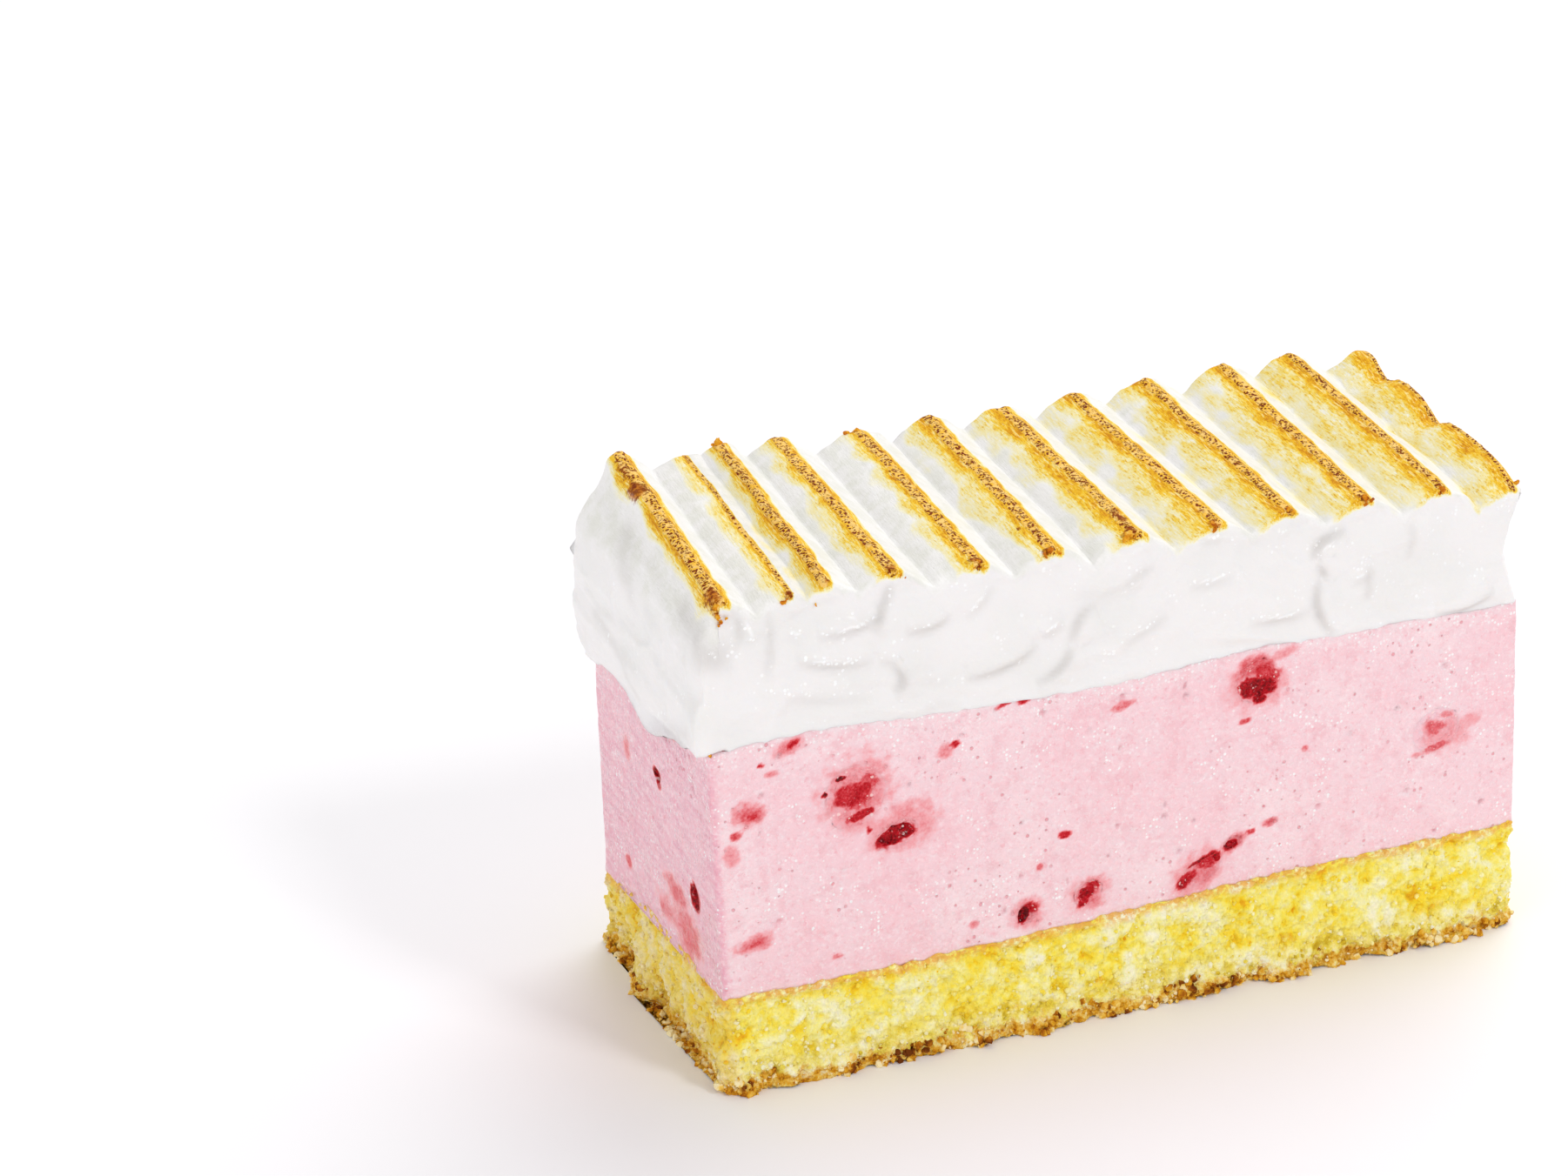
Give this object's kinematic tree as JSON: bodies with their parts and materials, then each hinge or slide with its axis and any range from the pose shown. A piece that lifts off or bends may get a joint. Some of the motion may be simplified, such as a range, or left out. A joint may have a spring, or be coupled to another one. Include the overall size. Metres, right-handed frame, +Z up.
{
  "type": "strawberry yogurt slice",
  "caption": "Oblong slice of yogurt mousse cake to serve as one portion: sponge base, pink mousse with strawberry pieces, and a thick combed meringue top browned on its crests.",
  "frame": {"origin": "on the underside of the sponge, midway along the slice and midway across it", "axes": "+X runs along the slice to the end where the meringue is cut square, +Y runs from the cut face with the fruit to the opposite side, +Z up"},
  "size_m": [0.1057, 0.0404, 0.064],
  "materials": {
    "sponge": "open yellow crumb, browned below",
    "mousse": "moist, fine bubbles",
    "meringue": "satin, smeared",
    "fruit": "wet"
  },
  "bodies": {
    "root": {"sponge_base": "sponge", "yogurt_mousse": "mousse", "meringue_top": "meringue", "strawberry_piece_1": "fruit", "strawberry_piece_2": "fruit", "strawberry_piece_3": "fruit", "strawberry_piece_4": "fruit", "strawberry_piece_5": "fruit", "strawberry_piece_6": "fruit", "strawberry_piece_7": "fruit", "strawberry_piece_8": "fruit", "strawberry_piece_9": "fruit", "strawberry_piece_10": "fruit"}
  },
  "joints": []
}
